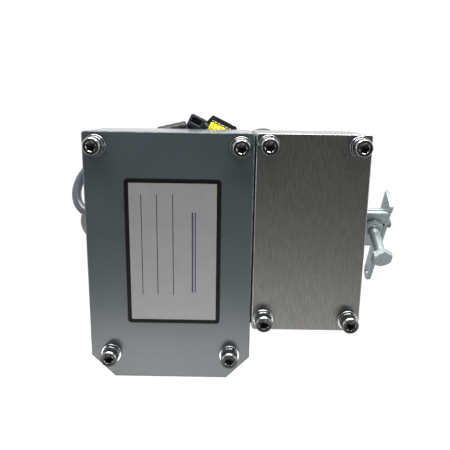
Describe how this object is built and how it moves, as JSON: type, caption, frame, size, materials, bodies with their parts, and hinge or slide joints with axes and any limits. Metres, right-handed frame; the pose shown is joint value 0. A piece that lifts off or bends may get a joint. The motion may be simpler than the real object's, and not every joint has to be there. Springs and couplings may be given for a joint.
{
  "type": "engine governor actuator",
  "caption": "Electric actuator with a painted motor housing and a cast gear housing side by side, a side output shaft with a clamped lever, mounting lugs and a cable with a sealed plug.",
  "frame": {"origin": "on the flat mounting face, level with the left lug's hole and midway across the width of the two covers", "axes": "+X along the output shaft, out to the lever; +Y to the top edge in the plane of the mounting face; +Z from the mounting face to the covers"},
  "size_m": [0.2813, 0.2082, 0.1101],
  "materials": {
    "cast_aluminium": "matte, as cast",
    "blue_grey_paint": "satin blue-grey paint over cast aluminium",
    "brushed_cover": "fine vertical brushing",
    "gasket": "matte",
    "black_rubber": "matte",
    "stainless": "bright",
    "plate": "satin, with a black printed border",
    "turned_steel": "turned",
    "gear_steel": "oiled",
    "gear_brass": "cut",
    "magnet": "matte ferrite",
    "bearing": "polished",
    "dark_steel": "blackened",
    "board": "green laminate",
    "black_plastic": "satin",
    "copper": "turned",
    "carbon": "matte",
    "zinc": "zinc plated",
    "cable_jacket": "glossy grey sheath",
    "yellow_rubber": "satin"
  },
  "bodies": {
    "housing": {"gear_housing": "cast_aluminium", "motor_housing": "blue_grey_paint", "joint_gasket": "gasket", "joining_screws": "stainless", "motor_cover": "blue_grey_paint", "motor_cover_gasket": "gasket", "motor_cover_screws": "stainless", "motor_cover_spring_washers": "stainless", "motor_cover_washers": "stainless", "nameplate": "plate", "gear_cover": "brushed_cover", "gear_cover_gasket": "gasket", "gear_cover_screws": "stainless", "gear_cover_spring_washers": "stainless", "gear_cover_washers": "stainless", "output_bearing_inner": "bearing", "output_bearing_outer": "bearing", "shaft_flange": "cast_aluminium", "flange_screws": "dark_steel", "shaft_seal": "black_rubber", "stop_pins": "gear_steel", "sensor_board": "board", "sensor_posts": "gear_brass", "intermediate_bearing_left": "bearing", "intermediate_bearing_right": "bearing", "motor_yoke": "dark_steel", "motor_magnets": "magnet", "motor_front_bell": "cast_aluminium", "motor_rear_bell": "cast_aluminium", "motor_bearing_front": "bearing", "motor_bearing_rear": "bearing", "brush_holder": "black_plastic", "brushes": "carbon", "motor_screws": "dark_steel", "driver_board": "board", "board_screws": "stainless", "board_capacitors": "black_plastic", "board_terminal": "black_plastic", "cable_gland": "black_plastic", "cable": "cable_jacket", "cable_sleeve": "black_rubber", "plug_rear": "black_plastic", "plug_seal": "yellow_rubber", "plug_front": "black_plastic", "plug_latch": "black_plastic"},
    "output": {"output_shaft": "turned_steel", "sector_gear": "gear_steel", "sensor_magnet": "magnet", "lever_bar": "zinc", "clamp_hub": "zinc", "clamp_bolt": "zinc", "clamp_nut": "zinc"},
    "intermediate": {"pinion_shaft": "gear_steel", "intermediate_wheel": "gear_brass"},
    "rotor": {"motor_shaft": "turned_steel", "rotor_core": "dark_steel", "commutator": "copper", "motor_pinion": "gear_steel"}
  },
  "joints": [
    {"name": "output_turn", "type": "hinge", "parent": "housing", "child": "output", "pos_m": [0.1, 0.01, 0.049], "axis": [-1, 0, 0], "range_deg": [0, 42]},
    {"name": "intermediate_turn", "type": "hinge", "parent": "housing", "child": "intermediate", "pos_m": [0.05, -0.02881, 0.03699], "axis": [-1, 0, 0], "range_deg": [-140, 0]},
    {"name": "rotor_turn", "type": "hinge", "parent": "housing", "child": "rotor", "pos_m": [0, -0.00882, 0.06449], "axis": [-1, 0, 0], "range_deg": [0, 540]}
  ],
  "couplings": [
    {"joint": "intermediate_turn", "follows": "output_turn", "ratio": -3.3333},
    {"joint": "rotor_turn", "follows": "output_turn", "ratio": 12.857}
  ]
}
